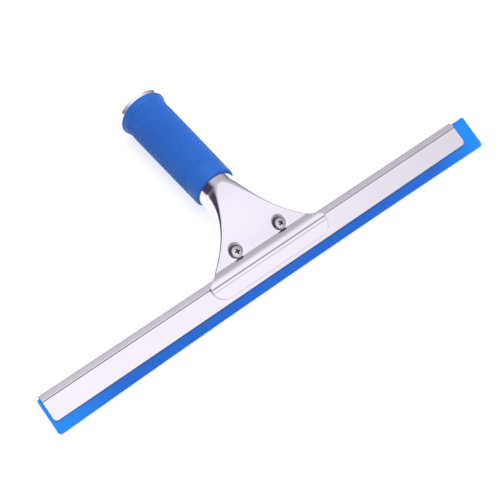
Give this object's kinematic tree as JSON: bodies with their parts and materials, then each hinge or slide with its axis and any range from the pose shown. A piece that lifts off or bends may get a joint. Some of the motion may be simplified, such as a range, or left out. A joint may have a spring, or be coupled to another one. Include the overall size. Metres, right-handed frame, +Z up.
{
  "type": "window cleaning squeegee",
  "caption": "Window squeegee with a bent two-shell steel handle, a ribbed rubber grip, and screw-clamped jaws that hold a channel with a replaceable rubber blade.",
  "frame": {"origin": "centre of the bounding box on the surface that the squeegee lies on, at rest on its blade's edge and the flared end of its handle", "axes": "+X along the channel, to the right as seen from the blade's edge; +Y from the blade's edge towards the handle; +Z up, out of the screw side"},
  "size_m": [0.364, 0.1646, 0.0375],
  "materials": {
    "shell_steel": "stamped stainless sheet, polished to a soft satin",
    "channel_steel": "folded stainless strip with fine lengthwise graining",
    "fastener_steel": "bright zinc plated steel",
    "grip_rubber": "blue rubber with fine lengthwise ribs",
    "blade_rubber": "smooth blue silicone rubber"
  },
  "bodies": {
    "handle": {"front_shell": "shell_steel", "back_shell": "shell_steel", "grip_sleeve": "grip_rubber"},
    "channel": {"channel": "channel_steel"},
    "blade": {"rubber_blade": "blade_rubber"},
    "screw_left": {"screw_left": "fastener_steel"},
    "screw_right": {"screw_right": "fastener_steel"},
    "nut_left": {"nut_left": "fastener_steel"},
    "nut_right": {"nut_right": "fastener_steel"}
  },
  "joints": [
    {"name": "channel_slide", "type": "slide", "parent": "handle", "child": "channel", "axis": [1, 0, 0], "range_m": [-0.126, 0.126]},
    {"name": "blade_slide", "type": "slide", "parent": "channel", "child": "blade", "axis": [1, 0, 0], "range_m": [-0.3, 0.3]},
    {"name": "screw_left_turn", "type": "hinge", "parent": "handle", "child": "screw_left", "pos_m": [-0.023, -0.05136, 0.01499], "axis": [0, -0.3611, 0.9325], "range_deg": [0, 1080]},
    {"name": "screw_right_turn", "type": "hinge", "parent": "handle", "child": "screw_right", "pos_m": [0.014, -0.05136, 0.01499], "axis": [0, -0.3611, 0.9325], "range_deg": [0, 1080]},
    {"name": "nut_left_travel", "type": "slide", "parent": "handle", "child": "nut_left", "axis": [0, 0.3611, -0.9325], "range_m": [0, 0.0021]},
    {"name": "nut_right_travel", "type": "slide", "parent": "handle", "child": "nut_right", "axis": [0, 0.3611, -0.9325], "range_m": [0, 0.0021]}
  ],
  "couplings": [
    {"joint": "screw_left_turn", "follows": "nut_left_travel", "rad_per_m": 8975.9},
    {"joint": "screw_right_turn", "follows": "nut_right_travel", "rad_per_m": 8975.9}
  ]
}
